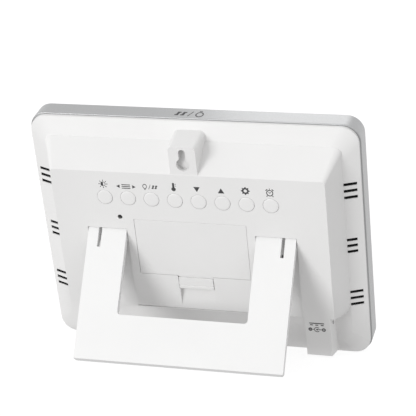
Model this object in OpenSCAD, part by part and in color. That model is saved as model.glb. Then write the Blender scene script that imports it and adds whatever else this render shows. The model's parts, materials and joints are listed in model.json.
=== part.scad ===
// Desk clock display in photo-frame form, standing on its open fold-out stand.
// Row frame: +Z up, the display faces -Y, the back faces +Y, X runs along the long side.
// Case frame, used by most modules: x as the row's X, y outward from the back, z up along
// the case, with its zero where the silver band meets the white cover at the bottom edge.

/* [Case] */
// Width of the case
case_w = 196.5; // [180:0.5:210]
// Height of the case
case_h = 151; // [140:1:165]
// Corner radius of the case outline
corner_r = 10; // [8:0.5:16]
// Depth of the silver front bezel
band_t = 12.3; // [11:0.1:14]
// Height of the rear plateau above the bezel
plateau_h = 21.7; // [20:0.1:25]
// Wall thickness of the plastic shells
wall = 2.2; // [1.8:0.1:2.4]
// Backward lean of the case when it stands
lean = 21.8; // [15:0.1:25]

/* [Rear cover] */
// Height of the upright wall at the cover's rim
rim_h = 2; // [1:0.1:3]
// Height of the first bevel's upper edge
bevel_h = 6; // [5:0.1:7]
// Width of the first bevel
bevel_w = 10.2; // [8:0.1:11]
// Half width of the plateau
plateau_x = 81.2; // [78:0.1:84]
// Top edge of the plateau
plateau_top = 126; // [124:0.5:128]
// Bottom edge of the plateau
plateau_bottom = 34.2; // [33:0.1:38]
// Height of the crease across the plateau
crease_z = 58.4; // [57:0.1:60]

/* [Buttons] */
// Radius of a button cap
button_r = 4.55; // [4:0.05:5]
// Distance between two buttons
button_pitch = 14.1; // [13:0.1:15]
// Height of the button row
button_z = 109.2; // [108:0.1:111]

/* [Stand] */
// Half width of the stand
stand_x = 62.35; // [60:0.05:63]
// Half width of the gap between the stand's arms
stand_gap_x = 38.9; // [38:0.1:42]
// Thickness of the stand plate
stand_t = 3.6; // [3:0.1:4]
// Height of the hinge axis along the case
hinge_z = 86.2; // [84:0.1:88]
// Lean of the open stand from the vertical
stand_lean = 20.1; // [15:0.1:25]
// Height of the bar that joins the arms
bar_h = 29.1; // [24:0.1:32]

/* [Battery door] */
// Half width of the door's recess
door_x = 33.7; // [33:0.1:34]
// Top edge of the door's recess
door_top = 95.2; // [94:0.1:96]

/* [Hidden] */
$fn = 48;
e = 0.01;
hinge_r = 2;
hinge_y = plateau_h - hinge_r;
pin_r = 1.5;
pin_bore_r = 1.56;
pin_len = 2.2;
channel_gap = 0.4;
channel_floor = plateau_h - stand_t - 0.5;
channel_top = hinge_z + hinge_r + 0.35;
arm_slot = [2, 13];
arm_slot_x = 55;
sole_w = 0.8;
foot_rise = 40;
stand_corner_r = 2;
foot_pad = [26, 6, 1.4];
foot_pad_y = -4.2;
foot_proud = 0.4;

// Places of the parts along the depth of the case
lens_t = 1.8;
lens_y = -band_t + 0.1;
lens_gap = 0.2;
lens_x = 93.6;
lens_z = [4.6, 146.4];
flange_y = [-10.3, -8.9];
window_x = 79.5;
window_z = [17, 134];
lcd_x = 81.5;
lcd_z = [15, 136];
lcd_y = [-8.7, -6.9];
light_y = [-6.8, -3.8];
mid_y = [-3.6, -1.8];
main_board_y = [0.6, 2.2];
main_board_x = 46;
main_board_z = [99, 139];
key_board_y = [8.4, 10];
key_board_x = 62;
key_board_z = [95.1, 118.5];
key_post_x = 58;
switch_h = 3.5;
skin_y = plateau_h - wall;

// The cover's outline lies this far inside the bezel's, and its box starts this low
cover_step = 0.8;
box_low = 25.8;

// Battery bay
cell_r = 5.25;
cell_len = 44.5;
cell_z = [66, 77, 88];
cell_y = 12.6;
bay_x = 31.6;
bay_z = [60.5, 93.5];
tray_wall = 1.4;
tray_floor_y = 5.4;
ledge_y = plateau_h - 2.1;
ring_y = 17.6;
door_t = 1.85;
door_gap = 0.15;
tongue_x = 10.5;
tongue_z = 49.7;
finger_z = 37;

// Jack housing and its socket
block_x = [-78.4, -63.4];
block_face = 20.6;
block_bottom = 8.6;
jack_y = 12.8;
jack_z = 28;
jack_r = 1.85;
jack_body = [9.5, 9, 8.5];

// Hanging pad with its keyhole
pad_x = 8;
pad_top = 143.5;
pad_base = [9.4, 145.5];
key_hole_r = 3.9;
key_hole_z = 132.6;
key_slot_r = 2;
key_slot_z = 140.2;
key_pocket_y = 17.4;
reset_at = [41.8, 96.3];
reset_r = 1.5;
lead_r = 0.8;

screw_upper = [50.6, 72];
screw_lower = [50.6, 54];
screw_head_r = 2.9;
screw_r = 1.25;
pilot_r = 1.3;
post_r = 3.2;

// Vents in each side bevel: middle, pitch and outer end of a group of three slots
vents = [[111.7, 4.2, 95.2], [75.8, 3.9, 93.7], [40.3, 4.2, 95.2]];
vent_inner_x = 87.9;
vent_h = 1.9;

// Where the leaning case stands: its lowest edge and the stand's sole are on the floor
pad_low = [foot_pad_y + foot_pad[1] / 2, -foot_proud];
lift = max(rim_h * sin(lean), pad_low[0] * sin(lean) - pad_low[1] * cos(lean));
hinge_row = [hinge_y * cos(lean) + hinge_z * sin(lean),
             hinge_z * cos(lean) - hinge_y * sin(lean) + lift];
sole_len = (hinge_row[1] + hinge_r * sin(stand_lean)) / cos(stand_lean);
sole_back = [hinge_r - stand_t, stand_t * tan(stand_lean) - sole_len];
sole_edge = sole_back + sole_w * [cos(stand_lean), -sin(stand_lean)];
foot_top = [hinge_r, sole_edge[1] + (hinge_r - sole_edge[0]) * tan(foot_rise - stand_lean)];
y_max = hinge_row[0] + foot_top[0] * cos(stand_lean) - foot_top[1] * sin(stand_lean);
y_min = -band_t * cos(lean);
shift_y = -(y_min + y_max) / 2;

// Case frame to row frame
module leaned() {
  translate([0, shift_y, lift]) rotate([-lean, 0, 0]) children();
}

// A box given by its ranges along x, y and z in the case frame
module block(x, y, z) {
  translate([x[0], y[0], z[0]]) cube([x[1] - x[0], y[1] - y[0], z[1] - z[0]]);
}

// A cylinder along the case's depth, from y[0] to y[1]
module rod(r, y, at, sides = 48) {
  translate([at[0], y[1], at[1]]) rotate([90, 0, 0]) cylinder(r = r, h = y[1] - y[0], $fn = sides);
}

// A cylinder along x, from x[0] to x[1], at [y, z]
module rod_x(r, x, at) {
  translate([x[0], at[0], at[1]]) rotate([0, 90, 0]) cylinder(r = r, h = x[1] - x[0]);
}

// A plate with round corners, half width hx, between z[0] and z[1] and y[0] and y[1]
module plate(hx, z, y, r, sides = 48) {
  translate([0, y[1], 0]) rotate([90, 0, 0]) linear_extrude(y[1] - y[0]) {
    translate([-hx + r, z[0]]) square([2 * (hx - r), z[1] - z[0]]);
    translate([-hx, z[0] + r]) square([2 * hx, z[1] - z[0] - 2 * r]);
    for (x = [-hx + r, hx - r], h = [z[0] + r, z[1] - r])
      translate([x, h]) circle(r = r, $fn = sides);
  }
}

// The same shape in mirrored pairs about the middle of the case
module both_sides() {
  children();
  mirror([1, 0, 0]) children();
}

// ---- front ----

// Silver band with the flange that carries the lens
module front_bezel() {
  color("silver") leaned() difference() {
    plate(case_w / 2, [0, case_h], [-band_t, -0.25], corner_r);
    plate(case_w / 2 - wall, [wall, case_h - wall], [flange_y[1], 1], corner_r - wall);
    plate(lens_x + lens_gap, [lens_z[0] - lens_gap, lens_z[1] + lens_gap],
          [-band_t - 1, flange_y[0]], 8);
    plate(window_x, window_z, [-band_t - 1, 0], 2);
    for (x = [-60, 60])
      block([x - foot_pad[0] / 2 - 0.1, x + foot_pad[0] / 2 + 0.1],
            [foot_pad_y - foot_pad[1] / 2 - 0.1, foot_pad_y + foot_pad[1] / 2 + 0.1],
            [-1, foot_pad[2] - foot_proud]);
  }
}

// Clear front window, glued into the bezel
module front_lens() {
  color("slategray", 0.5) leaned() plate(lens_x, lens_z, [lens_y, lens_y + lens_t], 7.8);
}

// Black print behind the lens, open over the display
module window_mask() {
  color("black") leaned() difference() {
    plate(lens_x - 0.4, [lens_z[0] + 0.4, lens_z[1] - 0.4],
          [lens_y + lens_t, flange_y[0]], 7.4);
    plate(window_x - 1, [window_z[0] + 1, window_z[1] - 1], [-band_t, 0], 1.5);
  }
}

// Liquid crystal panel
module lcd_glass() {
  color("darkolivegreen") leaned() block([-lcd_x, lcd_x], lcd_y, lcd_z);
}

// Light guide behind the panel
module backlight_plate() {
  color("ivory") leaned() block([-lcd_x, lcd_x], light_y, lcd_z);
}

// Chassis that holds the panel, with the posts for the boards and the case screws
module mid_frame() {
  color("dimgray") leaned() difference() {
    union() {
      plate(94.6, [4.2, 146.8], mid_y, 8);
      difference() {
        plate(lcd_x + 2.2, [lcd_z[0] - 2.2, lcd_z[1] + 2.2], [flange_y[1] + 0.1, mid_y[0]], 2);
        block([-lcd_x - 0.2, lcd_x + 0.2], [-20, 0], [lcd_z[0] - 0.2, lcd_z[1] + 0.2]);
        block([-16, 16], [-20, mid_y[0]], [lcd_z[1], lcd_z[1] + 3]);
      }
      both_sides() {
        rod(post_r, [mid_y[1], 5.9], screw_upper);
        rod(post_r, [mid_y[1], 5.9], screw_lower);
        rod(2.6, [mid_y[1], key_board_y[0]], [key_post_x, button_z]);
        rod(2.6, [mid_y[1], main_board_y[0]], [main_board_x - 4, 103]);
        rod(2.6, [mid_y[1], main_board_y[0]], [main_board_x - 4, 135]);
      }
    }
    both_sides() {
      rod(pilot_r, [-1, 9], screw_upper);
      rod(pilot_r, [-1, 9], screw_lower);
      rod(1.05, [-1.2, 3], [main_board_x - 4, 103]);
      rod(1.05, [-1.2, 3], [main_board_x - 4, 135]);
      rod(1.05, [2, 9], [key_post_x, button_z]);
    }
    block([-16, 16], [-5, 0], [143.8, 145]);
  }
}

// ---- electronics ----

// Main circuit board on the chassis posts
module main_board() {
  color("seagreen") leaned() difference() {
    block([-main_board_x, main_board_x], main_board_y, main_board_z);
    both_sides() for (z = [103, 135]) rod(1.3, [0, 3], [main_board_x - 4, z]);
  }
}

// Controller, memory and crystal on the main board
module board_chips() {
  color("black") leaned() {
    block([-7, 7], [main_board_y[1], main_board_y[1] + 1.6], [116, 130]);
    block([14, 22], [main_board_y[1], main_board_y[1] + 1.4], [120, 126]);
    block([-26, -18], [main_board_y[1], main_board_y[1] + 1.4], [104, 109]);
    block([13, 23], [main_board_y[1], main_board_y[1] + 3], [104, 108]);
  }
}

// Small screw through a board whose upper face is at height y
module board_screw(at, y) {
  rod(1, [y - 3.2, y], at);
  rod(2, [y, y + 1.3], at);
}

// Screws of both boards
module board_screws() {
  color("gray") leaned() both_sides() {
    for (z = [103, 135]) board_screw([main_board_x - 4, z], main_board_y[1]);
    board_screw([key_post_x, button_z], key_board_y[1]);
  }
}

// Flat ribbon from the panel's upper edge through the chassis to the main board
module lcd_flex() {
  color("darkorange") leaned() {
    block([-15, 15], [-7.95, -7.65], [lcd_z[1], 144.5]);
    block([-15, 15], [-7.65, mid_y[1] + 0.05], [144.2, 144.5]);
    block([-15, 15], [mid_y[1] + 0.05, mid_y[1] + 0.35], [139.1, 144.5]);
    block([-15, 15], [mid_y[1] + 0.35, main_board_y[1] + 0.3], [139.1, 139.4]);
    block([-15, 15], [main_board_y[1], main_board_y[1] + 0.3], [133, 139.1]);
  }
}

// Alarm buzzer with its sound hole
module buzzer() {
  color("black") leaned() difference() {
    rod(6, [main_board_y[1], main_board_y[1] + 5], [-32, 121]);
    rod(1, [main_board_y[1] + 3, main_board_y[1] + 6], [-32, 121]);
  }
}

// Touch electrode under the top of the bezel
module touch_plate() {
  color("peru") leaned() block([-22, 22], [-7.6, -4.4], [case_h - wall - 0.5, case_h - wall]);
}

// Room temperature sensor on its stem, beside the vents
module temperature_sensor() {
  color("midnightblue") leaned() {
    block([84, 88], [mid_y[1], 0.2], [40, 46]);
    translate([86, 0.2, 43]) rotate([-90, 0, 0]) cylinder(r = 1.1, h = 2, $fn = 24);
  }
}

// Circuit board behind the buttons
module key_board() {
  color("seagreen") leaned() difference() {
    block([-key_board_x, key_board_x], key_board_y, key_board_z);
    both_sides() rod(1.3, [0, 20], [key_post_x, button_z]);
  }
}

// One push switch on the key board
module tact_switch(at) {
  block([at[0] - 3, at[0] + 3], [key_board_y[1], key_board_y[1] + switch_h], [at[1] - 3, at[1] + 3]);
  rod(1.6, [key_board_y[1] + switch_h, key_board_y[1] + switch_h + 0.8], at);
}

// Push switches of the row of buttons, and the tall one of the reset plunger
module tact_switches() {
  color("darkslategray") leaned() {
    for (i = [-3.5:1:3.5]) tact_switch([i * button_pitch, button_z]);
    block([reset_at[0] - 1.2, reset_at[0] + 1.2], [key_board_y[1], 16.5],
          [reset_at[1] - 1.2, reset_at[1] + 1.2]);
    rod(0.8, [16.5, 17.3], reset_at);
  }
}

// Push button: dome cap, guide, retaining flange and stem
module push_button(at) {
  translate([at[0], 0, at[1]]) rotate([-90, 0, 0]) rotate_extrude()
    polygon(concat([[0, key_board_y[1] + switch_h + 1.5], [1.8, key_board_y[1] + switch_h + 1.5],
      [1.8, skin_y - 1.3], [button_r + 1, skin_y - 1.3], [button_r + 1, skin_y - 0.3],
      [button_r, skin_y - 0.3], [button_r, plateau_h]],
      [for (a = [15:15:90]) [button_r - 1.1 * (1 - cos(a)), plateau_h + 0.35 * sin(a)]],
      [[0, plateau_h + 0.45]]));
}

// Button number i of the row, counted from +X
module row_button(i) {
  color("white") leaned() push_button([(3.5 - i) * button_pitch, button_z]);
}

module button_light() { row_button(0); }
module button_memory() { row_button(1); }
module button_snooze() { row_button(2); }
module button_temperature() { row_button(3); }
module button_down() { row_button(4); }
module button_up() { row_button(5); }
module button_settings() { row_button(6); }
module button_alarm() { row_button(7); }

// Recessed reset plunger
module reset_button() {
  color("gray") leaned() {
    rod(reset_r - 0.3, [skin_y - 0.3, plateau_h - 0.7], reset_at);
    rod(2.2, [skin_y - 1.3, skin_y - 0.3], reset_at);
  }
}

// ---- rear cover ----

// Outer shape of the tray, the raised box, the jack housing and the hanging pad.
// d is how far the shape is drawn inward, for the hollow of the shell.
module cover_tray(d) {
  low = d > 0 ? -e : 0;
  hull() {
    plate(case_w / 2 - cover_step - d, [d, case_h - cover_step - d],
          [low, max(rim_h - d, 0.4)], corner_r - d, 32);
    plate(case_w / 2 - bevel_w - d / 2, [bevel_w + d / 2, case_h - bevel_w - d / 2 - 2],
          [bevel_h - d - e, bevel_h - d], 7, 32);
  }
}

module cover_box(d) {
  hull() {
    plate(88 - d, [box_low + d, 100], [bevel_h - d - 2, bevel_h - d], 12, 32);
    plate(88 - d, [60, 139.5 - d], [bevel_h - d - 2, bevel_h - d], 4, 32);
    plate(plateau_x - d, [crease_z, plateau_top - d * 0.8],
          [plateau_h - d - e, plateau_h - d], 2, 32);
    block([-plateau_x + d, plateau_x - d], [plateau_h - d - 1.4 - e, plateau_h - d - 1.4],
          [plateau_bottom + d, plateau_bottom + d + 1]);
  }
}

module cover_block(d) {
  hull() {
    block([block_x[0] + d, block_x[1] - d], [block_face - d - e, block_face - d],
          [block_bottom + d, 40]);
    block([block_x[0] + d, block_x[1] - d], [1 - d / 2, 1 - d / 2 + e],
          [1.2 + d, 40]);
  }
}

module hanging_pad() {
  hull() {
    plate(pad_x, [120, pad_top], [plateau_h - 0.4, plateau_h - 0.2], 2, 32);
    plate(pad_base[0], [120, pad_base[1]], [3, 4], 3, 32);
  }
}

// Places inside the hollow that stay solid: channel beds, hinge bosses, the battery
// door's frame, the finger recess and the screw wells
module cover_beds() {
  both_sides() {
    block([34.6, 66.2], [channel_floor - wall, 30], [plateau_bottom - 3, channel_top + wall]);
    for (at = [screw_upper, screw_lower]) rod(post_r + 1.6, [6, channel_floor], at);
  }
  difference() {
    block([-door_x - 2, door_x + 2], [ring_y, 30], [crease_z - 2, door_top + 2]);
    block([-bay_x, bay_x], [0, 40], bay_z);
  }
  block([-tongue_x - 2, tongue_x + 2], [ledge_y - 4.4, 30],
        [finger_z - 2, bay_z[0] - tray_wall - 0.2]);
  block([-6.4, 6.4], [key_pocket_y - 1.6, 30], [124.6, 145]);
}

// Keyhole through the hanging pad with room for a screw head behind it
module keyhole_cut() {
  rod(key_hole_r, [skin_y - 1, 30], [0, key_hole_z]);
  rod(key_slot_r, [skin_y - 1, 30], [0, key_slot_z]);
  block([-key_slot_r, key_slot_r], [skin_y - 1, 30], [key_hole_z, key_slot_z]);
  plate(4.6, [key_hole_z - 4.6, key_slot_z + 2.4], [key_pocket_y, skin_y], 4.2);
}

// Channels of the folded stand, with the bores of its hinge pins
module stand_cuts() {
  both_sides() {
    block([stand_gap_x - channel_gap, stand_x + channel_gap], [channel_floor, 40],
          [0, channel_top]);
    block([stand_gap_x - channel_gap, stand_x + channel_gap],
          [hinge_y - hinge_r - 0.4, 40], [hinge_z - 5, channel_top]);
    rod_x(pin_bore_r, [stand_gap_x - pin_len - 0.3, stand_x + pin_len + 0.3], [hinge_y, hinge_z]);
  }
}

// Recess of the battery door, the battery opening and the ramped finger recess
module door_cuts() {
  block([-door_x, door_x], [ledge_y, 40], [crease_z, door_top]);
  block([-bay_x, bay_x], [0, 40], bay_z);
  block([-tongue_x - 0.3, tongue_x + 0.3], [ledge_y, 40], [tongue_z - 0.3, crease_z + 1]);
  translate([-tongue_x, 0, 0]) rotate([90, 0, 90]) linear_extrude(2 * tongue_x)
    polygon([[plateau_h + 1, finger_z - 2], [plateau_h - 1.1, finger_z],
             [ledge_y - 2, tongue_z + 0.4], [plateau_h + 1, tongue_z + 0.4]]);
}

// Shadow line above the plateau's lower edge, between the stand's arms
module edge_groove() {
  block([-stand_gap_x + 0.8, stand_gap_x - 0.8], [plateau_h - 2.1, 40],
        [plateau_bottom + 0.4, plateau_bottom + 0.9]);
}

// Vent slots across both side bevels
module vent_cuts() {
  both_sides() for (v = vents, z = [v[0] - v[1], v[0], v[0] + v[1]])
    block([vent_inner_x, v[2]], [-1, 12], [z - vent_h / 2, z + vent_h / 2]);
}

// Holes for the buttons, the reset plunger, the jack and the screws
module small_cuts() {
  for (i = [-3.5:1:3.5]) rod(button_r + 0.15, [skin_y - 1, 40], [i * button_pitch, button_z]);
  rod(reset_r, [skin_y - 1, 40], reset_at);
  rod_x(jack_r, [block_x[0] - 2, block_x[0] + wall + 1], [jack_y, jack_z]);
  both_sides() for (at = [screw_upper, screw_lower]) {
    rod(screw_head_r + 0.3, [8, 40], at);
    rod(screw_r + 0.2, [0, 40], at);
  }
}

// White rear shell
module rear_cover() {
  color("white") leaned() difference() {
    union() {
      cover_tray(0);
      cover_box(0);
      cover_block(0);
      hanging_pad();
    }
    difference() {
      union() {
        cover_tray(wall);
        cover_box(wall);
        cover_block(wall);
      }
      cover_beds();
    }
    stand_cuts();
    door_cuts();
    keyhole_cut();
    edge_groove();
    vent_cuts();
    small_cuts();
  }
}

// Screws that hold the cover to the chassis posts
module case_screws() {
  color("gray") leaned() both_sides() for (at = [screw_upper, screw_lower]) {
    rod(screw_head_r, [8, 10], at);
    rod(screw_r, [1, 8], at);
  }
}

// Rubber feet in the underside of the bezel
module case_feet() {
  color("dimgray") leaned() for (x = [-60, 60])
    block([x - foot_pad[0] / 2, x + foot_pad[0] / 2],
          [foot_pad_y - foot_pad[1] / 2, foot_pad_y + foot_pad[1] / 2],
          [-foot_proud, foot_pad[2] - foot_proud]);
}

// ---- battery bay ----

// Tray under the door
module battery_tray() {
  color("white") leaned() difference() {
    block([-bay_x - tray_wall, bay_x + tray_wall], [tray_floor_y, ring_y],
          [bay_z[0] - tray_wall, bay_z[1] + tray_wall]);
    block([-bay_x, bay_x], [tray_floor_y + tray_wall, 40], bay_z);
  }
}

// Dry cell number i, lying along x, with its raised positive cap
module battery_cell(i) {
  side = i == 1 ? -1 : 1;
  color("steelblue") leaned() translate([0, cell_y, cell_z[i]]) mirror([side < 0 ? 1 : 0, 0, 0])
    rotate([0, 90, 0]) rotate_extrude()
      polygon([[0, -cell_len / 2], [4.4, -cell_len / 2], [cell_r, -cell_len / 2 + 0.8],
               [cell_r, cell_len / 2 - 1.6], [cell_r - 0.8, cell_len / 2 - 0.8],
               [1.9, cell_len / 2 - 0.8], [1.9, cell_len / 2], [0, cell_len / 2]]);
}

module battery_cell_a() { battery_cell(0); }
module battery_cell_b() { battery_cell(1); }
module battery_cell_c() { battery_cell(2); }

// Flat contact plates at both ends of the bay
module battery_contacts() {
  color("silver") leaned() for (x = [-1, 1], z = cell_z)
    block(x < 0 ? [-bay_x + 0.1, -bay_x + 0.6] : [bay_x - 0.6, bay_x - 0.1],
          [cell_y - 4.5, cell_y + 4], [z - 4.2, z + 4.2]);
}

// Coil springs at the negative ends, as stepped cones of wire rings
module battery_springs() {
  gap = bay_x - 0.6 - cell_len / 2;
  color("silver") leaned() for (i = [0:2])
    translate([0, cell_y, cell_z[i]]) mirror([i == 1 ? 0 : 1, 0, 0]) rotate([0, 90, 0])
      translate([0, 0, cell_len / 2]) rotate_extrude()
        polygon(concat([[1.6, 0.1], [2.6, 0.1]],
          [for (k = [1:5]) each [[2.6 + k * 0.3, k * gap / 6], [2.2 + k * 0.3, (k + 0.5) * gap / 6]]],
          [[4, gap - 0.1], [3, gap - 0.1]],
          [for (k = [5:-1:1]) each [[1.4 + k * 0.3, (k + 0.5) * gap / 6], [1.8 + k * 0.3, k * gap / 6]]]));
}

// Door with its spring tongue
module battery_door() {
  color("white") leaned() difference() {
    union() {
      block([-door_x + door_gap, door_x - door_gap], [plateau_h - door_t, plateau_h],
            [crease_z + door_gap, door_top - door_gap]);
      block([-tongue_x, tongue_x], [plateau_h - door_t, plateau_h], [tongue_z, crease_z + 1]);
    }
    block([-tongue_x - 1, tongue_x + 1], [plateau_h - 1, 40], [crease_z - 1.1, crease_z - 0.3]);
    block([-tongue_x - 1, tongue_x + 1], [plateau_h - 0.5, 40], [tongue_z + 1.9, tongue_z + 2.4]);
  }
}

// ---- power socket ----

// Socket body with its round opening
module dc_jack() {
  x_in = block_x[0] + wall + 0.2;
  color("black") leaned() difference() {
    block([x_in, x_in + jack_body[0]], [jack_y - jack_body[1] / 2, jack_y + 3.9],
          [jack_z - jack_body[2] / 2, jack_z + jack_body[2] / 2]);
    rod_x(jack_r - 0.1, [x_in - 1, x_in + 9], [jack_y, jack_z]);
  }
}

// Centre pin of the socket
module jack_pin() {
  x_in = block_x[0] + wall + 0.2;
  color("silver") leaned() rod_x(0.6, [x_in + 0.6, x_in + 9], [jack_y, jack_z]);
}

// Round wire along straight stretches between points, with round corners
module lead(points) {
  for (i = [0:len(points) - 2]) {
    step = points[i + 1] - points[i];
    translate(points[i]) rotate([0, acos(step[2] / norm(step)), atan2(step[1], step[0])])
      cylinder(r = lead_r, h = norm(step), $fn = 24);
  }
  for (i = [1:len(points) - 2]) translate(points[i]) sphere(r = lead_r, $fn = 24);
}

// Leads from the battery tray and the socket to the main board
module power_leads() {
  jack_lead_x = block_x[0] + wall + 5;
  run_y = (main_board_y[0] + main_board_y[1]) / 2;
  color("firebrick") leaned() {
    both_sides() lead([[28, tray_floor_y, 90], [28, 3.9, 90], [28, 3.9, 104],
                       [28, main_board_y[1], 104]]);
    lead([[jack_lead_x, jack_y - jack_body[1] / 2, jack_z], [jack_lead_x, run_y, jack_z],
          [jack_lead_x, run_y, 105.4], [-main_board_x, run_y, 105.4]]);
  }
}

// ---- stand ----

// Stand in its flat pose about the hinge axis: arms and bar hang along -z, y = 0 at the axis
module stand_plate() {
  bar_top = -sole_len + bar_h;
  corner_x = stand_x - stand_corner_r;
  inner_x = stand_gap_x - stand_corner_r;
  rotate([90, 0, 0]) linear_extrude(20, center = true) difference() {
    union() {
      translate([-stand_x, -sole_len + stand_corner_r + 1]) square([2 * stand_x, sole_len + 10]);
      translate([-corner_x, -sole_len - 2]) square([2 * corner_x, 20]);
      for (x = [-corner_x, corner_x])
        translate([x, -sole_len + stand_corner_r + 1]) circle(r = stand_corner_r);
    }
    translate([-stand_gap_x, bar_top + stand_corner_r]) square([2 * stand_gap_x, 140]);
    translate([-inner_x, bar_top]) square([2 * inner_x, 20]);
    for (x = [-inner_x, inner_x])
      translate([x, bar_top + stand_corner_r]) circle(r = stand_corner_r);
    for (x = [-arm_slot_x, arm_slot_x])
      translate([x - arm_slot[0] / 2, hinge_r - arm_slot[1]]) square([arm_slot[0], 20]);
  }
}

// Side profile of the stand: round hinge end, flat plate and a slanted foot on a narrow sole
module stand_profile() {
  circle(r = hinge_r);
  polygon([[hinge_r - stand_t, 0], [hinge_r, 0], foot_top, sole_edge, sole_back]);
}

// Space behind the bar's upper edge, which leaves a thin lip that closes over the plateau
module lip_cut() {
  back = hinge_r - stand_t;
  bar_top = -sole_len + bar_h;
  rotate([90, 0, 90]) linear_extrude(2 * stand_gap_x, center = true)
    polygon([[back - 1, bar_top + 1], [0.75, bar_top + 1], [0.55, bar_top - 2.6],
             [back, bar_top - 4.7], [back - 1, bar_top - 4.7]]);
}

// White fold-out stand with its four hinge pins, open
module stand() {
  color("white") translate([0, hinge_row[0] + shift_y, hinge_row[1]]) rotate([stand_lean, 0, 0]) {
    difference() {
      intersection() {
        stand_plate();
        rotate([90, 0, 90]) linear_extrude(2 * stand_x + 10, center = true) stand_profile();
      }
      lip_cut();
    }
    both_sides() {
      rod_x(pin_r, [stand_x - 4, stand_x + pin_len], [0, 0]);
      rod_x(pin_r, [stand_gap_x - pin_len, stand_gap_x + 4], [0, 0]);
    }
  }
}

front_bezel();
front_lens();
window_mask();
lcd_glass();
backlight_plate();
mid_frame();
main_board();
board_chips();
board_screws();
lcd_flex();
buzzer();
touch_plate();
temperature_sensor();
key_board();
tact_switches();
rear_cover();
case_screws();
case_feet();
battery_tray();
battery_cell_a();
battery_cell_b();
battery_cell_c();
battery_contacts();
battery_springs();
battery_door();
dc_jack();
jack_pin();
power_leads();
stand();
button_light();
button_memory();
button_snooze();
button_temperature();
button_down();
button_up();
button_settings();
button_alarm();
reset_button();
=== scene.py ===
"""Looks of the desk display clock seen from behind: materials, printed icons and small parts."""

import itertools
import json
import math

import bmesh
import bpy
from mathutils import Matrix, Vector


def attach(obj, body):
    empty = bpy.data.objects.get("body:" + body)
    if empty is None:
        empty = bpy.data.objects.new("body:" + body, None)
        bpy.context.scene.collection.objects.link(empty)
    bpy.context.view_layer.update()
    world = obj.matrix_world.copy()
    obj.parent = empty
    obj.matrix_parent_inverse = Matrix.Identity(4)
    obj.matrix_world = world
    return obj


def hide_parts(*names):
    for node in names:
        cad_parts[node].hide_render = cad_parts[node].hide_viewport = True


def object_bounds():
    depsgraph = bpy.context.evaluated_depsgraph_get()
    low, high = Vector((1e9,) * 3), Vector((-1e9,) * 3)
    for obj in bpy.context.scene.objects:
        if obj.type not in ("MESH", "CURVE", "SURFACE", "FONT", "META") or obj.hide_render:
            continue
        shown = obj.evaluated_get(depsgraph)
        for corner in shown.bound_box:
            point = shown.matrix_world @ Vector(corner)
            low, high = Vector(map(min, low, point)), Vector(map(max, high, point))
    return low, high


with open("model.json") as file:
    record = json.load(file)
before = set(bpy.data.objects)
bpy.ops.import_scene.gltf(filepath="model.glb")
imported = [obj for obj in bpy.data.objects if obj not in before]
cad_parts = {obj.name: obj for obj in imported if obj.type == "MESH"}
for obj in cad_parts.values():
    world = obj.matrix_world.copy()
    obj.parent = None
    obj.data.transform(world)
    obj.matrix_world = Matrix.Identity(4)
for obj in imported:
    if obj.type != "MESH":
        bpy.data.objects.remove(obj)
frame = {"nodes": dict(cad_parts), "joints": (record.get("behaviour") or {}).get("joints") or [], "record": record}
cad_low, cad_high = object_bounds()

MM = 0.001

# ---- the case frame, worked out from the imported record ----

JOINTS = {joint["name"]: joint for joint in frame["joints"]}
MOUNTS = {mount["name"]: mount for mount in frame["record"]["mounts"]}
CASE_OUT = Vector(JOINTS["battery_door_lift"]["axis"]).normalized()
CASE_UP = Vector((0, -CASE_OUT.z, CASE_OUT.y))
ROW_X = Vector((1, 0, 0))

# Where the keyhole's centre is in the case frame: depth and height, in millimetres
KEYHOLE_Y = 20.5
KEYHOLE_Z = 132.6
CASE_ORIGIN = (
    Vector(MOUNTS["keyhole"]["pos_m"]) - CASE_OUT * KEYHOLE_Y * MM - CASE_UP * KEYHOLE_Z * MM
)
CASE = Matrix.Translation(CASE_ORIGIN) @ Matrix((ROW_X, CASE_OUT, CASE_UP)).transposed().to_4x4()
CASE_INVERSE = CASE.inverted()


def case_point(x, y, z):
    """A point of the case frame, in millimetres, as a place in the row frame."""
    return CASE @ (Vector((x, y, z)) * MM)


def case_box(node):
    """Lowest and highest corner of a CAD node in the case frame, in millimetres."""
    points = [CASE_INVERSE @ v.co / MM for v in frame["nodes"][node].data.vertices]
    low = Vector([min(p[i] for p in points) for i in range(3)])
    high = Vector([max(p[i] for p in points) for i in range(3)])
    return low, high


def face_frame(centre, right, up):
    """Placement of a flat drawing on a surface: its x runs right and its y runs up."""
    axes = Matrix((right, up, right.cross(up))).transposed().to_4x4()
    return Matrix.Translation(centre) @ axes


# ---- materials ----


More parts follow.
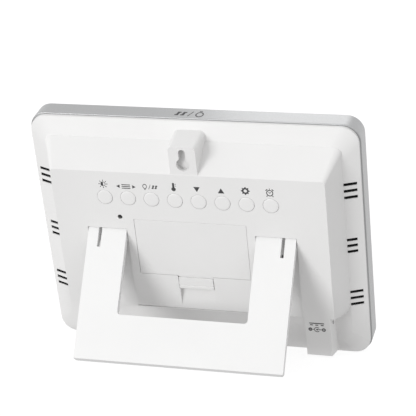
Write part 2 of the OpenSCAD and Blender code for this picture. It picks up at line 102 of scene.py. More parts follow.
class Shader:
    """One procedural material: a Principled shader with helpers that add its nodes."""

    def __init__(self, name, colour, roughness, **sockets):
        self.material = bpy.data.materials.new(name)
        self.material.use_nodes = True
        self.nodes = self.material.node_tree.nodes
        self.links = self.material.node_tree.links
        self.principled = self.nodes["Principled BSDF"]
        self.set("Base Color", (*colour, 1))
        self.set("Roughness", roughness)
        for socket, value in sockets.items():
            self.set(socket.replace("_", " "), value)
        self.colour = colour
        self.coordinates = self.nodes.new("ShaderNodeTexCoord")
        self.last_normal = None

    def set(self, socket, value):
        """Sets one socket of the Principled shader."""
        self.principled.inputs[socket].default_value = value

    def noise(self, scale, detail=2.0, stretch=None):
        """Noise in the object's own metres; stretch squeezes it along x, y or z."""
        noise = self.nodes.new("ShaderNodeTexNoise")
        noise.inputs["Scale"].default_value = scale
        noise.inputs["Detail"].default_value = detail
        source = self.coordinates.outputs["Object"]
        if stretch:
            mapping = self.nodes.new("ShaderNodeMapping")
            mapping.inputs["Scale"].default_value = stretch
            self.links.new(source, mapping.inputs["Vector"])
            source = mapping.outputs["Vector"]
        self.links.new(source, noise.inputs["Vector"])
        return noise.outputs["Fac"]

    def spread(self, factor, low, high, start=0.35, end=0.65):
        """Maps a factor's middle range onto low to high."""
        spread = self.nodes.new("ShaderNodeMapRange")
        values = {"From Min": start, "From Max": end, "To Min": low, "To Max": high}
        for socket, value in values.items():
            spread.inputs[socket].default_value = value
        self.links.new(factor, spread.inputs["Value"])
        return spread.outputs["Result"]

    def tint(self, factor, colour):
        """Blends the base colour towards another colour where the factor is high."""
        mix = self.nodes.new("ShaderNodeMix")
        mix.data_type = "RGBA"
        mix.inputs["A"].default_value = (*self.colour, 1)
        mix.inputs["B"].default_value = (*colour, 1)
        base = self.principled.inputs["Base Color"]
        if base.is_linked:
            self.links.new(base.links[0].from_socket, mix.inputs["A"])
        self.links.new(factor, mix.inputs["Factor"])
        self.links.new(mix.outputs["Result"], base)

    def roughen(self, factor, low, high):
        """Lets the roughness wander between two values."""
        self.links.new(self.spread(factor, low, high), self.principled.inputs["Roughness"])

    def bump(self, height, depth, strength=1.0):
        """Raises the surface by up to depth, in metres, where the height is high."""
        bump = self.nodes.new("ShaderNodeBump")
        bump.inputs["Strength"].default_value = strength
        bump.inputs["Distance"].default_value = depth
        self.links.new(height, bump.inputs["Height"])
        if self.last_normal:
            self.links.new(self.last_normal, bump.inputs["Normal"])
        self.last_normal = bump.outputs["Normal"]
        self.links.new(self.last_normal, self.principled.inputs["Normal"])

    def axis(self, output, axis):
        """One axis of a Texture Coordinate output such as Object or Normal."""
        split = self.nodes.new("ShaderNodeSeparateXYZ")
        self.links.new(self.coordinates.outputs[output], split.inputs["Vector"])
        return split.outputs[axis]

    def compute(self, operation, first, second=None):
        """Result of a Math node; its operands are node outputs or numbers."""
        node = self.nodes.new("ShaderNodeMath")
        node.operation = operation
        for socket, value in zip(node.inputs, (first, second)):
            if value is None:
                continue
            if isinstance(value, (int, float)):
                socket.default_value = value
            else:
                self.links.new(value, socket)
        return node.outputs["Value"]


def shaded(colour, amount):
    """The colour made darker by a share."""
    return tuple(c * (1 - amount) for c in colour)


# Noise scales of moulded plastic, per metre: drift of its tone, of its gloss, and sink marks
TONE_SCALE, GLOSS_SCALE, SINK_SCALE = 22, 160, 9


def moulded_plastic(name, colour, roughness=0.42, grain=0.00001, grain_scale=5200):
    """Moulded plastic: spark-eroded grain, faint sink marks and a slight drift of tone."""
    shader = Shader(name, colour, roughness, IOR=1.5)
    shader.tint(shader.spread(shader.noise(TONE_SCALE, 3), 0, 0.5), shaded(colour, 0.035))
    shader.roughen(shader.noise(GLOSS_SCALE, 4), roughness - 0.05, roughness + 0.06)
    shader.bump(shader.noise(SINK_SCALE, 1), 0.00025, 0.25)
    shader.bump(shader.noise(grain_scale, 2), grain)
    return shader.material


def silver_paint():
    """Satin silver paint: metal flake under a thin clear coat, with fine spray orange peel."""
    shader = Shader("bezel_silver", (0.48, 0.484, 0.49), 0.38, Metallic=0.75)
    shader.set("Coat Weight", 0.15)
    shader.set("Coat Roughness", 0.25)
    flake = shader.noise(9000, 1)
    shader.tint(shader.spread(flake, 0, 1), (0.60, 0.605, 0.61))
    shader.roughen(shader.noise(4000, 2), 0.33, 0.46)
    shader.bump(shader.noise(900, 2), 0.00001)
    return shader.material


def ink(name, colour):
    """Pad-printed ink, slightly uneven."""
    shader = Shader(name, colour, 0.45)
    shader.tint(shader.spread(shader.noise(2600, 3), 0, 0.6), tuple(c * 1.5 for c in colour))
    shader.bump(shader.noise(6000, 2), 0.000004)
    return shader.material


def gauze():
    """Black dust gauze behind the vents: two crossed sets of threads."""
    shader = Shader("vent_gauze", (0.006, 0.006, 0.006), 0.85)
    radians_per_metre = 14000
    threads = []
    for axis in "XZ":
        phase = shader.compute("MULTIPLY", shader.axis("Object", axis), radians_per_metre)
        threads.append(shader.compute("SINE", phase))
    weave = shader.compute("MAXIMUM", *threads)
    shader.set("Specular IOR Level", 0.05)
    shader.tint(shader.spread(weave, 0, 1, 0.2, 1), (0.012, 0.012, 0.012))
    shader.bump(weave, 0.00004)
    return shader.material


def metal(name, colour, roughness, brushed=None):
    """Plated metal with fine scratches; brushed stretches them along one axis."""
    shader = Shader(name, colour, roughness, Metallic=1.0)
    scratches = shader.noise(1800, 4, brushed)
    shader.tint(shader.spread(shader.noise(300, 2), 0, 0.4), shaded(colour, 0.25))
    shader.roughen(scratches, roughness - 0.06, roughness + 0.1)
    shader.bump(scratches, 0.000006)
    return shader.material


def rubber(name, colour):
    """Matt rubber with a coarse, slightly blotchy skin."""
    shader = Shader(name, colour, 0.8)
    shader.tint(shader.spread(shader.noise(700, 4), 0, 1), tuple(c * 1.25 for c in colour))
    shader.bump(shader.noise(2500, 4), 0.00004)
    return shader.material


def clear_window():
    """Clear moulded window with a trace of roughness."""
    shader = Shader("lens", (0.96, 0.97, 0.98), 0.02, IOR=1.49)
    shader.set("Transmission Weight", 1.0)
    shader.roughen(shader.noise(200, 2), 0.01, 0.04)
    shader.bump(shader.noise(14, 1), 0.00002)
    return shader.material


def circuit_board(name):
    """Green solder mask over copper tracks that run along x and z."""
    shader = Shader(name, (0.012, 0.16, 0.06), 0.35)
    tracks_per_metre = 260
    bricks = shader.nodes.new("ShaderNodeTexBrick")
    mapping = shader.nodes.new("ShaderNodeMapping")
    mapping.inputs["Rotation"].default_value = (math.pi / 2, 0, 0)
    mapping.inputs["Scale"].default_value = (tracks_per_metre,) * 3
    shader.links.new(shader.coordinates.outputs["Object"], mapping.inputs["Vector"])
    shader.links.new(mapping.outputs["Vector"], bricks.inputs["Vector"])
    bricks.inputs["Scale"].default_value = 1.0
    bricks.inputs["Mortar Size"].default_value = 0.06
    shader.tint(bricks.outputs["Fac"], (0.03, 0.30, 0.11))
    shader.tint(shader.spread(shader.noise(90, 2), 0, 0.4), (0.008, 0.11, 0.04))
    shader.bump(bricks.outputs["Fac"], 0.00003)
    return shader.material


def display_panel():
    """Grey-green liquid crystal panel with a satin front film."""
    shader = Shader("lcd", (0.40, 0.45, 0.39), 0.3)
    shader.tint(shader.spread(shader.noise(12, 2), 0, 0.5), (0.35, 0.40, 0.35))
    shader.bump(shader.noise(7000, 1), 0.000004)
    return shader.material


def cell_sleeve():
    """Dry cell that lies along x: printed sleeve with a pale band and bare metal at both ends."""
    shader = Shader("cell", (0.05, 0.13, 0.30), 0.28)
    shader.set("Coat Weight", 0.4)
    band_start = 14.5 * MM
    from_middle = shader.compute("ABSOLUTE", shader.axis("Object", "X"))
    band = shader.compute("GREATER_THAN", from_middle, band_start)
    shader.tint(band, (0.72, 0.74, 0.76))
    facing_along = shader.compute("ABSOLUTE", shader.axis("Normal", "X"))
    end = shader.compute("GREATER_THAN", facing_along, 0.7)
    shader.tint(end, (0.78, 0.77, 0.74))
    shader.links.new(end, shader.principled.inputs["Metallic"])
    shader.bump(shader.noise(900, 2), 0.00001)
    return shader.material


def light_guide():
    """Frosted clear plastic with a grid of light-spreading dots."""
    shader = Shader("light_guide", (0.86, 0.88, 0.86), 0.25)
    dots_per_metre = 500
    dots = shader.nodes.new("ShaderNodeTexVoronoi")
    dots.inputs["Scale"].default_value = dots_per_metre
    dots.inputs["Randomness"].default_value = 0.0
    shader.links.new(shader.coordinates.outputs["Object"], dots.inputs["Vector"])
    shader.tint(shader.spread(dots.outputs["Distance"], 1, 0, 0.15, 0.3), (1, 1, 1))
    shader.bump(dots.outputs["Distance"], 0.00002)
    return shader.material


WHITE = (0.80, 0.797, 0.793)
STAND_WHITE = (0.82, 0.82, 0.817)
MATERIALS = {
    "cover_white": moulded_plastic("cover_white", WHITE),
    "door_white": moulded_plastic("door_white", tuple(c * 0.99 for c in WHITE)),
    "tray_white": moulded_plastic("tray_white", (0.80, 0.80, 0.79), 0.5),
    "stand_white": moulded_plastic("stand_white", STAND_WHITE, 0.38),
    "button_white": moulded_plastic("button_white", tuple(c * 1.01 for c in WHITE), 0.36),
    "bezel_silver": silver_paint(),
    "lens": clear_window(),
    "mask_print": ink("mask_print", (0.012, 0.012, 0.013)),
    "lcd": display_panel(),
    "light_guide": light_guide(),
    "chassis": moulded_plastic("chassis", (0.05, 0.05, 0.053), 0.5, 0.00003, 3000),
    "board": circuit_board("board"),
    "chips": moulded_plastic("chips", (0.018, 0.018, 0.019), 0.55, 0.00002, 4000),
    "screw_steel": metal("screw_steel", (0.55, 0.55, 0.54), 0.3),
    "flex": moulded_plastic("flex", (0.42, 0.17, 0.03), 0.3),
    "black_plastic": moulded_plastic("black_plastic", (0.016, 0.016, 0.017), 0.4),
    "contact_metal": metal("contact_metal", (0.66, 0.64, 0.60), 0.22, (1, 1, 0.1)),
    "switches": moulded_plastic("switches", (0.03, 0.03, 0.033), 0.45),
    "foot_rubber": rubber("foot_rubber", (0.09, 0.09, 0.09)),
    "cell": cell_sleeve(),
    "lead": moulded_plastic("lead", (0.40, 0.02, 0.015), 0.4),
    # Reset plunger near black: its own dark plastic, darkened further as painted shade of the deep pinhole it sits
    # in
    "reset_grey": moulded_plastic("reset_grey", (0.02, 0.02, 0.02), 0.5),
}
ICON_INK = ink("icon_ink", (0.045, 0.045, 0.047))
SEGMENT_INK = ink("segment_ink", (0.014, 0.016, 0.018))
GAUZE = gauze()


# ---- CAD nodes: materials, and modifiers that round their edges ----


def smooth_group():
    """Geometry nodes that shade a mesh smooth without touching it."""
    group = bpy.data.node_groups.new("shade_smooth", "GeometryNodeTree")
    for side in ("INPUT", "OUTPUT"):
        group.interface.new_socket("Geometry", in_out=side, socket_type="NodeSocketGeometry")
    start = group.nodes.new("NodeGroupInput")
    smooth = group.nodes.new("GeometryNodeSetShadeSmooth")
    end = group.nodes.new("NodeGroupOutput")
    group.links.new(start.outputs[0], smooth.inputs["Geometry"])
    group.links.new(smooth.outputs[0], end.inputs[0])
    return group


SMOOTH_GROUP = smooth_group()


# Points closer than this are one, in metres
SEAM_GAP = 1e-6
# Angles between faces, in degrees: up to the first they are one face, from the second an edge
FLAT_ANGLE, SHARP_ANGLE = 0.6, 28


def round_edges(obj, width):
    """Modifiers that merge flat triangles, round the sharp edges and shade the result."""
    weld = obj.modifiers.new("join_seams", "WELD")
    weld.merge_threshold = SEAM_GAP
    flats = obj.modifiers.new("merge_flats", "DECIMATE")
    flats.decimate_type = "DISSOLVE"
    flats.angle_limit = math.radians(FLAT_ANGLE)
    bevel = obj.modifiers.new("round_edges", "BEVEL")
    bevel.width = width
    bevel.segments = 2
    bevel.limit_method = "ANGLE"
    bevel.angle_limit = math.radians(SHARP_ANGLE)
    bevel.use_clamp_overlap = True
    smooth = obj.modifiers.new("smooth", "NODES")
    smooth.node_group = SMOOTH_GROUP
    normals = obj.modifiers.new("face_normals", "WEIGHTED_NORMAL")
    normals.keep_sharp = False


# Widths of the rounded edges by node, in millimetres, then those of buttons and of all other nodes
EDGE_WIDTHS = {
    "rear_cover": 0.45,
    "front_bezel": 0.4,
    "stand": 0.5,
    "battery_door": 0.25,
    "front_lens": 0.3,
    "battery_tray": 0.2,
    "case_feet": 0.3,
    "dc_jack": 0.2,
    "board_chips": 0.12,
    "tact_switches": 0.1,
    "buzzer": 0.2,
}
BUTTON_EDGE_WIDTH = 0.4
SMALL_EDGE_WIDTH = 0.08


def dress_cad_nodes():
    """Gives every CAD node the material of its slot and the rounding that suits its size."""
    for part in frame["record"]["subparts"]:
        node, slot = frame["nodes"][part["node"]], part["material_slot"]
        node.data.materials.clear()
        node.data.materials.append(MATERIALS[slot])
        usual_width = BUTTON_EDGE_WIDTH if slot == "button_white" else SMALL_EDGE_WIDTH
        round_edges(node, EDGE_WIDTHS.get(part["node"], usual_width) * MM)


dress_cad_nodes()


# ---- pieces: helpers ----

# Rightwards for someone who looks at the back
BACK_RIGHT = -ROW_X


def add_piece(name, data, material, place=Matrix.Identity(4)):
    """Puts new data in the scene as a piece that rides on the case."""
    obj = bpy.data.objects.new(name, data)
    bpy.context.scene.collection.objects.link(obj)
    data.materials.append(material)
    obj.matrix_world = place
    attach(obj, "case")
    return obj


def arc(centre, radius, start=0, end=360, steps=32):
    """Points of an arc, angles in degrees; a full circle leaves out its repeated last point."""
    count = steps if abs(end - start) >= 360 else steps + 1
    angles = [math.radians(start + (end - start) * k / steps) for k in range(count)]
    return [(centre[0] + radius * math.cos(a), centre[1] + radius * math.sin(a)) for a in angles]


def bar(start, end, width):
    """Outline of a straight stroke."""
    start, end = Vector(start), Vector(end)
    along = end - start
    side = Vector((-along.y, along.x)).normalized() * width / 2
    return [tuple(corner) for corner in (start + side, start - side, end - side, end + side)]


def polar(radius, angle):
    """Point at a radius and an angle in degrees."""
    return radius * math.cos(math.radians(angle)), radius * math.sin(math.radians(angle))


def moved(outline, right):
    """The outline, moved rightwards."""
    return [(x + right, y) for x, y in outline]


def scaled(outline, factor):
    """The outline, scaled about its origin."""
    return [(x * factor, y * factor) for x, y in outline]


def printed(name, place, outlines, material, thickness=0.03):
    """Flat print from closed outlines in millimetres; an outline inside another is a hole."""
    curve = bpy.data.curves.new(name, "CURVE")
    curve.dimensions = "2D"
    curve.fill_mode = "BOTH"
    curve.extrude = thickness / 2 * MM
    for outline in outlines:
        spline = curve.splines.new("POLY")
        spline.points.add(len(outline) - 1)
        for point, (x, y) in zip(spline.points, outline):
            point.co = (x * MM, y * MM, 0, 1)
        spline.use_cyclic_u = True
    return add_piece(name, curve, material, place)


def solid(name, mesh_data, material, smooth=None):
    """Turns a bmesh into a piece; smooth is the angle under which its faces are shaded smooth."""
    bmesh.ops.recalc_face_normals(mesh_data, faces=mesh_data.faces)
    mesh = bpy.data.meshes.new(name)
    mesh_data.to_mesh(mesh)
    mesh_data.free()
    if smooth:
        mesh.shade_smooth()
        mesh.set_sharp_from_angle(angle=math.radians(smooth))
    return add_piece(name, mesh, material)


# ---- printed icons: outlines in millimetres around the icon's centre ----

# Depth of the faces that carry icons, in the case frame: the plateau and the socket's housing
PLATEAU_Y = case_box("battery_door")[1].y
HOUSING_Y = 20.6


def sun_icon():
    """Half-filled disc with eight rays."""
    half = arc((0, 0), 1.15, -90, 90, 16)
    rays = [bar(polar(1.9, a), polar(2.75, a), 0.45) for a in range(0, 360, 45)]
    return [arc((0, 0), 1.5), half] + rays


def memory_icon():
    """Stack of three bars between two arrow heads."""
    bars = [bar((-2.6, y), (2.6, y), 0.55) for y in (-1.15, 0, 1.15)]
    heads = [[(d * 3.8, 1.1), (d * 5.9, 0), (d * 3.8, -1.1)] for d in (-1, 1)]
    return bars + heads


def rest_icon(size):
    """Lamp bulb with its base, a slash and two zigzags."""
    rings = (arc((0, 0), radius) for radius in (2.45, 1.75))
    bulb = [[(-6.6 + x, 0.5 + y * 1.25) for x, y in ring] for ring in rings]
    base = bar((-7.5, -3.4), (-5.7, -3.4), 0.8)
    slash = bar((-2.3, -2.9), (0.1, 2.9), 0.6)
    zigzag = [(-1.7, -2.2), (0.4, -2.2), (1.0, 1.0), (1.7, 1.0), (1.7, 2.2), (-0.4, 2.2),
              (-1.0, -1.0), (-1.7, -1.0)]
    outlines = bulb + [base, slash, moved(zigzag, 3.0), moved(zigzag, 6.4)]
    return [scaled(outline, size) for outline in outlines]


def thermometer_icon():
    """Bulb and stem with two scale marks."""
    bulb, stem = 1.3, 0.62
    gap = math.degrees(math.asin(stem / bulb))
    outline = arc((0, -1.4), bulb, 90 + gap, 450 - gap, 28) + arc((0, 2.1), stem, 0, 180, 10)
    marks = [bar((0.95, y), (1.6, y), 0.4) for y in (0.7, 1.9)]
    return [outline] + marks


def arrow_icon(direction):
    """Filled triangle; direction 1 points up and -1 down."""
    return [[(-1.9, -1.6 * direction), (1.9, -1.6 * direction), (0, 1.65 * direction)]]


def gear_icon():
    """Eight pointed teeth around an open centre."""
    teeth = [polar(2.75 if k % 2 == 0 else 1.85, k * 22.5) for k in range(16)]
    return [teeth, arc((0, 0), 1.0)]


def alarm_icon():
    """Alarm clock: ring, two hands, two bells and two feet."""
    hands = [(0.15, -0.2), (-0.15, -0.2), (-0.85, 0.6), (-0.6, 0.85), (0, 0.25), (0.7, 0.7),
             (0.85, 0.4)]
    bells = [bar(polar(2.75, a - 14), polar(2.75, a + 14), 0.6) for a in (48, 132)]
    feet = [bar(polar(2.2, a), polar(3.1, a), 0.45) for a in (-50, -130)]
    pin = bar((0, 2.2), (0, 3.0), 0.4)
    return [arc((0, 0), 2.05), arc((0, 0), 1.5), hands, pin] + bells + feet


# Icon over each button, with the place of its centre from the button's: rightwards and up
BUTTON_ICONS = {
    "light": (sun_icon(), -0.1, 8.6),
    "memory": (memory_icon(), -0.4, 7.6),
    "snooze": (rest_icon(0.52), 0.3, 8.1),
    "temperature": (thermometer_icon(), 0, 8.9),
    "down": (arrow_icon(-1), -0.35, 8.1),
    "up": (arrow_icon(1), -0.2, 8.0),
    "settings": (gear_icon(), 0, 8.8),
    "alarm": (alarm_icon(), 0, 8.2),
}


def add_button_icons():
    """One icon over each button, on the plateau."""
    for name, (outlines, right, up) in BUTTON_ICONS.items():
        low, high = case_box("button_" + name)
        x = (low.x + high.x) / 2 - right
        z = (low.z + high.z) / 2 + up
        place = face_frame(case_point(x, PLATEAU_Y, z), BACK_RIGHT, CASE_UP)
        printed("icon_" + name, place, outlines, ICON_INK)


def add_touch_icon():
    """Icon over the touch electrode on the top of the bezel, to be read from the front."""
    low, high = case_box("touch_plate")
    top = case_box("front_bezel")[1].z
    centre = case_point((low.x + high.x) / 2 + 2.3, (low.y + high.y) / 2 + 0.4, top)
    printed("icon_touch", face_frame(centre, ROW_X, CASE_OUT), rest_icon(1), ICON_INK)


def add_power_symbols():
    """Direct current sign over the polarity sign of the socket, on the socket's housing."""
    low, high = case_box("dc_jack")
    x = (low.x + high.x) / 2 + 0.9
    place = face_frame(case_point(x, HOUSING_Y, low.z + 2.9), BACK_RIGHT, CASE_UP)
    line = bar((-4.4, 4.3), (4.4, 4.3), 0.65)
    dashes = [bar((x - 0.85, 3.1), (x + 0.85, 3.1), 0.65) for x in (-3.2, 0, 3.2)]
    links = [bar((-2.7, 0), (-1.8, 0), 0.45), bar((0.65, 0), (2.7, 0), 0.45)]
    cup = arc((0, 0), 1.75, 40, 320, 24) + arc((0, 0), 1.3, 320, 40, 24)
    ends = [arc((x, 0), 1.2, 0, 360, 20) for x in (-4, 4)]
    minus = bar((-4.6, 0), (-3.4, 0), 0.3)
    plus = [(3.4, 0.15), (3.85, 0.15), (3.85, 0.6), (4.15, 0.6), (4.15, 0.15), (4.6, 0.15),
            (4.6, -0.15), (4.15, -0.15), (4.15, -0.6), (3.85, -0.6), (3.85, -0.15), (3.4, -0.15)]
    signs = [line, cup, arc((0, 0), 0.6, 0, 360, 16), minus, plus]
    printed("power_symbols", place, signs + dashes + links + ends, ICON_INK)


add_button_icons()
add_touch_icon()
add_power_symbols()


# ---- gauze strips in the vents ----

# The side bevel's edges: half width and depth of its outer and inner edge. The slots in it lie
# in groups of three: middle height, pitch and outer end.
BEVEL_OUTER = (97.45, 2)
BEVEL_INNER = (88.05, 6)
SLOT_GROUPS = ((111.7, 4.2, 95.2), (75.8, 3.9, 93.7), (40.3, 4.2, 95.2))
SLOT_INNER = 87.9
SLOT_HEIGHT = 1.9
GAUZE_DEPTH = 0.6
GAUZE_THICKNESS = 0.4
# Gaps between a strip and its slot: at the long sides and at the ends
GAUZE_SIDE_GAP, GAUZE_END_GAP = 0.01, 0.02


def bevel_depth(x):
    """Depth of the cover's bevel surface at half width x."""
    share = min(1, (BEVEL_OUTER[0] - x) / (BEVEL_OUTER[0] - BEVEL_INNER[0]))
    return BEVEL_OUTER[1] + (BEVEL_INNER[1] - BEVEL_OUTER[1]) * share


def add_vent_gauze():
    """Strips of dust gauze that lie in the slots, a little below the bevel."""
    mesh_data = bmesh.new()
    steps = 8
    half = SLOT_HEIGHT / 2 - GAUZE_SIDE_GAP
    for side, (middle, pitch, outer), row in itertools.product((-1, 1), SLOT_GROUPS, (-1, 0, 1)):
        z = middle + row * pitch
        start, end = SLOT_INNER + GAUZE_END_GAP, outer - GAUZE_END_GAP
        rings = []
        for k in range(steps + 1):
            x = start + (end - start) * k / steps
            top = bevel_depth(x) - GAUZE_DEPTH
            corners = ((top, -half), (top, half), (top - GAUZE_THICKNESS, half),
                       (top - GAUZE_THICKNESS, -half))
            rings.append([mesh_data.verts.new(case_point(side * x, y, z + h)) for y, h in corners])
        for one, two in zip(rings, rings[1:]):
            for c in range(4):
                d = (c + 1) % 4
                mesh_data.faces.new((one[c], one[d], two[d], two[c]))
        mesh_data.faces.new(rings[0])
        mesh_data.faces.new(rings[-1])
    solid("vent_gauze", mesh_data, GAUZE)


add_vent_gauze()


# ---- screws, springs and display digits ----


def screw_mesh(mesh_data, place, head_radius, head_height, shank_radius, shank_length):
    """Cross-recess screw that points along -z, its domed head's underside at z = 0."""
    recess, slot, depth = head_radius * 0.52, head_radius * 0.13, head_height * 0.6
    rim_steps = 48
    profile = [(head_radius * 0.62, head_height), (head_radius * 0.85, head_height * 0.88),
               (head_radius * 0.97, head_height * 0.6), (head_radius, head_height * 0.3),
               (head_radius, 0), (shank_radius, 0)]
    turns = 9
    for k in range(turns):
        z = -shank_length * (k + 0.5) / turns
        profile += [(shank_radius, z + 0.12), (shank_radius * 0.8, z)]
    profile += [(shank_radius * 0.75, -shank_length)]
    rings = []
    for radius, z in profile:
        points = [polar(radius, 360 * k / rim_steps) for k in range(rim_steps)]
        rings.append([mesh_data.verts.new(place @ (Vector((x, y, z)) * MM)) for x, y in points])
    for one, two in zip(rings, rings[1:]):
        for k in range(rim_steps):
            j = (k + 1) % rim_steps
            mesh_data.faces.new((one[k], one[j], two[j], two[k]))
    mesh_data.faces.new(rings[-1])
    cross = []
    for quarter in range(4):
        turn = Matrix.Rotation(math.radians(90 * quarter), 2)
        cross += [turn @ Vector(p) for p in ((recess, -slot), (recess, slot), (slot, slot))]
    top, floor = [
        [mesh_data.verts.new(place @ (Vector((p.x * taper, p.y * taper, z)) * MM)) for p in cross]
        for taper, z in ((1, head_height), (0.8, head_height - depth))
    ]
    for k in range(len(cross)):
        j = (k + 1) % len(cross)
        mesh_data.faces.new((top[k], top[j], floor[j], floor[k]))
    mesh_data.faces.new(floor)
    loops = [mesh_data.edges.get((ring[k], ring[(k + 1) % len(ring)]))
             for ring in (rings[0], top) for k in range(len(ring))]
    bmesh.ops.triangle_fill(mesh_data, edges=loops, use_beauty=True)


def add_screws(name, node, places, head_radius, head_height, shank_radius, shank_length):
    """Screws in place of a CAD node's plain ones; a place is x, z and the head's underside y."""
    mesh_data = bmesh.new()
    for number, (x, z, y) in enumerate(places):
        frame_here = face_frame(case_point(x, y, z), BACK_RIGHT, CASE_UP)
        turn = math.radians(20 + 31 * number)
        spun = frame_here @ Matrix.Rotation(turn, 4, "Z")
        screw_mesh(mesh_data, spun, head_radius, head_height, shank_radius, shank_length)
    piece = solid(name, mesh_data, MATERIALS["screw_steel"], smooth=40)
    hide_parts(node)


# Radius of the case screws' heads; the four screws fill the corners of their CAD node's box
CASE_HEAD = 2.9
screws_low, screws_high = case_box("case_screws")
CASE_SCREWS = [
    (x, z, 8)
    for x in (screws_low.x + CASE_HEAD, screws_high.x - CASE_HEAD)
    for z in (screws_low.z + CASE_HEAD, screws_high.z - CASE_HEAD)
]
# Four screws in the main board and two in the key board
BOARD_SCREWS = [(x, z, 2.2) for x in (-42, 42) for z in (103, 135)]
BOARD_SCREWS += [(x, 109.2, 10) for x in (-58, 58)]
add_screws("case_screws_cross", "case_screws", CASE_SCREWS, CASE_HEAD, 2, 1.25, 7)
add_screws("board_screws_cross", "board_screws", BOARD_SCREWS, 2, 1.3, 1, 3.2)


def add_springs():
    """Conical coil springs at the negative end of each cell, in place of plain cones."""
    wire, turns, steps, plate, gap = 0.3, 6, 20, 0.5, 0.05
    least_radius, most_radius = 2.1, 3.6
    curve = bpy.data.curves.new("battery_coils", "CURVE")
    curve.dimensions = "3D"
    curve.bevel_depth = wire * MM
    curve.bevel_resolution = 3
    curve.use_fill_caps = True
    plate_x = case_box("battery_contacts")[1].x - plate
    for cell, side in (("a", -1), ("b", 1), ("c", -1)):
        low, high = case_box("battery_cell_" + cell)
        axis_y, axis_z = (low.y + high.y) / 2, (low.z + high.z) / 2
        start = abs(low.x) + wire + gap
        length = plate_x - start - wire - gap
        spline = curve.splines.new("POLY")
        spline.points.add(turns * steps)
        for k, point in enumerate(spline.points):
            share = k / (turns * steps)
            angle = 2 * math.pi * turns * share
            radius = least_radius + (most_radius - least_radius) * share
            # Half a turn lies flat at each end
            along = min(1, max(0, share * 1.2 - 0.1))
            place = case_point(side * (start + length * along), axis_y + radius * math.cos(angle),
                               axis_z + radius * math.sin(angle))
            point.co = (*place, 1)
    piece = add_piece("battery_coils", curve, MATERIALS["contact_metal"])
    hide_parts("battery_springs")


add_springs()

# Segments a to g of a digit that is 1 wide and 2 high: middle of each, and whether it lies flat
SEGMENT_PLACES = {
    "a": (0, 1, True), "b": (0.5, 0.5, False), "c": (0.5, -0.5, False), "d": (0, -1, True),
    "e": (-0.5, -0.5, False), "f": (-0.5, 0.5, False), "g": (0, 0, True),
}
DIGIT_SEGMENTS = {
    "0": "abcdef", "1": "bc", "2": "abged", "3": "abgcd", "4": "fgbc", "5": "afgcd",
    "6": "afgedc", "7": "abc", "8": "abcdefg", "9": "abcdfg", "-": "g",
}
# In digit widths: steps from sign to sign, and the dots' radius and height in a colon
DIGIT_STEP, DOT_STEP = 1.42, 0.55
DOT_RADIUS, COLON_HEIGHT = 0.12, 0.45


def segment(x, y, flat, stroke):
    """One pointed bar of a digit, in digit units."""
    half, point = stroke / 2, 0.5 - 0.04
    shape = [(-point, 0), (-point + half, half), (point - half, half), (point, 0),
             (point - half, -half), (-point + half, -half)]
    return [(x + a, y + b) if flat else (x + b, y + a) for a, b in shape]


def digits(text, x, z, width):
    """Outlines of a row of digits from x; a colon or a point takes less room."""
    outlines = []
    dot = DOT_RADIUS * width
    for sign in text:
        if sign in ":.":
            heights = (-COLON_HEIGHT, COLON_HEIGHT) if sign == ":" else (-1,)
            outlines += [arc((x + dot, z + height * width), dot, steps=16) for height in heights]
            x += DOT_STEP * width
            continue
        for name in DIGIT_SEGMENTS[sign]:
            shape = segment(*SEGMENT_PLACES[name], stroke=0.2)
            outlines.append([(x + (0.5 + a) * width, z + b * width) for a, b in shape])
        x += DIGIT_STEP * width
    return outlines


# What the clock shows: time, seconds, date and temperature, each with its start, the height of
# its middle and the width of a digit, around the panel's centre
DISPLAY_TEXTS = (
    ("10:28", -66, 18, 19), ("36", 50, 5, 6.5), ("11-17", -66, -38, 8.5), ("23.5", 8, -38, 11),
)
DEGREE_SIGN = (58, -24)


def add_display_digits():
    """The display's dark segments, on the front of the panel."""
    low, high = case_box("lcd_glass")
    place = face_frame(case_point(0, low.y - 0.03, (low.z + high.z) / 2), ROW_X, CASE_UP)
    outlines = [outline for text in DISPLAY_TEXTS for outline in digits(*text)]
    outlines += [arc(DEGREE_SIGN, radius) for radius in (1.8, 1.1)]
    printed("display_digits", place, outlines, SEGMENT_INK, 0.02)


add_display_digits()


# ---- stage: floor, light and camera ----

CENTRE = (cad_low + cad_high) / 2
FLOOR_SIZE = 8.0


def add_floor():
    """Plain pale floor, lit from within so that it stays almost white, with faint mottling."""
    shader = Shader("floor", (0.22, 0.22, 0.22), 0.7)
    shader.set("Emission Color", (1, 1, 1, 1))
    shader.set("Emission Strength", 0.84)
    shader.tint(shader.spread(shader.noise(3, 2), 0, 0.3), (0.20, 0.20, 0.20))
    mesh = bpy.data.meshes.new("floor")
    grid = bmesh.new()
    bmesh.ops.create_grid(grid, x_segments=4, y_segments=4, size=FLOOR_SIZE)
    grid.to_mesh(mesh)
    grid.free()
    mesh.materials.append(shader.material)
    floor = bpy.data.objects.new("floor", mesh)
    bpy.context.scene.collection.objects.link(floor)
    floor.location = (0, 0, cad_low.z)
    floor.visible_diffuse = False
    floor.visible_glossy = False
    floor.visible_shadow = False


def view_direction(azimuth, elevation):
    """Direction towards a viewpoint, in degrees; azimuth 0 is in front of the display."""
    a, e = math.radians(azimuth), math.radians(elevation)
    return Vector((math.sin(a) * math.cos(e), -math.cos(a) * math.cos(e), math.sin(e)))


def add_light(name, azimuth, elevation, softness, strength):
    """Soft distant light from a direction; softness is its width in degrees."""
    back = view_direction(azimuth, elevation)
    data = bpy.data.lights.new(name, "SUN")
    data.angle = math.radians(softness)
    data.energy = strength
    light = bpy.data.objects.new(name, data)
    light.location = CENTRE + back
    light.rotation_mode = "QUATERNION"
    light.rotation_quaternion = back.to_track_quat("Z", "Y")
    bpy.context.scene.collection.objects.link(light)


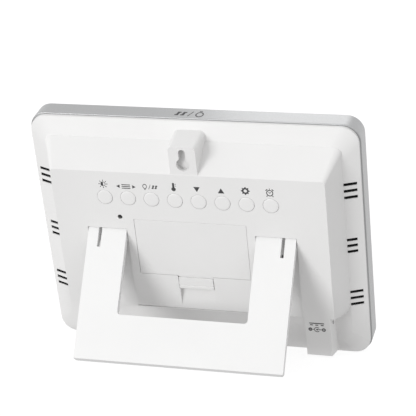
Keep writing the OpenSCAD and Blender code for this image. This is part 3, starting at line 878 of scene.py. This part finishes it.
def add_lamp(name, place, aim, size, power):
    """Round lamp close to the object; place and aim are in the row frame."""
    data = bpy.data.lights.new(name, "AREA")
    data.shape = "DISK"
    data.size = size
    data.energy = power
    lamp = bpy.data.objects.new(name, data)
    lamp.location = place
    lamp.rotation_mode = "QUATERNION"
    lamp.rotation_quaternion = (place - aim).to_track_quat("Z", "Y")
    lamp.visible_camera = False
    bpy.context.scene.collection.objects.link(lamp)


def add_world(below, level, above):
    """Studio light whose grey changes with height: below the horizon, at it and overhead."""
    world = bpy.data.worlds.new("studio")
    world.use_nodes = True
    nodes, links = world.node_tree.nodes, world.node_tree.links
    coordinates = nodes.new("ShaderNodeTexCoord")
    split = nodes.new("ShaderNodeSeparateXYZ")
    height = nodes.new("ShaderNodeMapRange")
    height.inputs["From Min"].default_value = -1
    ramp = nodes.new("ShaderNodeValToRGB")
    ramp.color_ramp.interpolation = "LINEAR"
    ramp.color_ramp.elements[0].color = (*below, 1)
    ramp.color_ramp.elements[1].color = (*above, 1)
    ramp.color_ramp.elements.new(0.5).color = (*level, 1)
    links.new(coordinates.outputs["Generated"], split.inputs["Vector"])
    links.new(split.outputs["Z"], height.inputs["Value"])
    links.new(height.outputs["Result"], ramp.inputs["Fac"])
    links.new(ramp.outputs["Color"], nodes["Background"].inputs["Color"])
    bpy.context.scene.world = world


# The reference view: angles in degrees, distance in metres, place aimed at from the centre in
# millimetres, and lens and sensor in millimetres
CAMERA_AZIMUTH, CAMERA_ELEVATION, CAMERA_ROLL = 196.221, 8.753, 0.633
CAMERA_DISTANCE = 1.05828
CAMERA_AIM = (5.13, -33.92, 8.36)
LENS, SENSOR = 151.6, 36


def add_camera():
    """Camera at the reference view: behind the object, a little to its side and above."""
    target = CENTRE + Vector(CAMERA_AIM) * MM
    back = view_direction(CAMERA_AZIMUTH, CAMERA_ELEVATION)
    roll = math.radians(CAMERA_ROLL)
    right = Vector((0, 0, 1)).cross(back).normalized()
    up = back.cross(right)
    tilted_right = right * math.cos(roll) + up * math.sin(roll)
    tilted_up = up * math.cos(roll) - right * math.sin(roll)
    data = bpy.data.cameras.new("camera")
    data.sensor_width = SENSOR
    data.lens = LENS
    camera = bpy.data.objects.new("camera", data)
    axes = Matrix((tilted_right, tilted_up, back)).transposed().to_4x4()
    camera.matrix_world = Matrix.Translation(target + back * CAMERA_DISTANCE) @ axes
    bpy.context.scene.collection.objects.link(camera)
    bpy.context.scene.camera = camera


# Top corner of the bezel on the side of the socket, which the lamp brightens
TOP_CORNER = Vector((cad_low.x, cad_low.y / 2, cad_high.z))
LAMP_OFFSET = Vector((0.06, -0.08, 0.14))

add_floor()
add_world(below=(0.30, 0.295, 0.295), level=(0.90, 0.90, 0.90), above=(0.70, 0.70, 0.70))
add_light("key", azimuth=150, elevation=5, softness=26, strength=1.3)
add_lamp("top", TOP_CORNER + LAMP_OFFSET, TOP_CORNER, size=0.16, power=0.052)
add_camera()
bpy.context.scene.view_settings.view_transform = "Standard"
